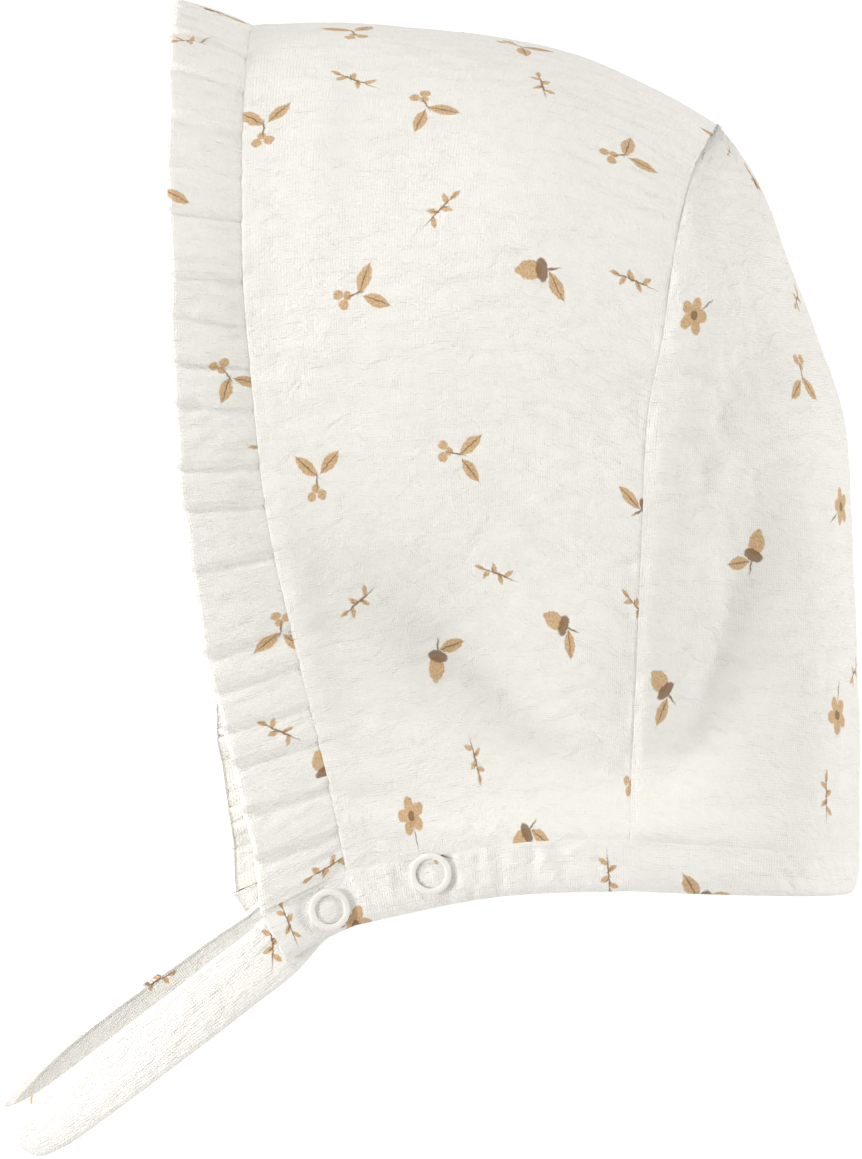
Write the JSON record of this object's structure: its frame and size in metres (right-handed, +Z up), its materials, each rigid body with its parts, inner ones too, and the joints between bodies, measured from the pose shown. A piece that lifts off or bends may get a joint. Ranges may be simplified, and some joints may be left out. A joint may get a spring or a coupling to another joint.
{
  "type": "baby bonnet",
  "caption": "Close-fitting cloth hood for a baby with a gathered face frill, a rounded back panel, a neck band and a chin strap that loops under the chin to snaps",
  "frame": {"origin": "where the crown of a head meets the inside of the hood, on the line of symmetry", "axes": "+Z up the head, -Y out of the face opening, +X toward the wearer's left, the side the strap snaps to"},
  "size_m": [0.1217, 0.1929, 0.2599],
  "materials": {
    "printed_muslin": "off-white cotton muslin with a small scattered tan print",
    "hem_muslin": "off-white cotton muslin, sewn double",
    "snap_resin": "cream, glossy, open ring"
  },
  "bodies": {
    "root": {"hood_panel": "printed_muslin", "back_panel": "printed_muslin", "face_frill": "printed_muslin", "neck_band": "hem_muslin", "chin_strap": "hem_muslin", "snap_ring_front": "snap_resin", "snap_ring_rear": "snap_resin", "snap_stud_front": "snap_resin", "snap_stud_rear": "snap_resin"}
  },
  "joints": []
}
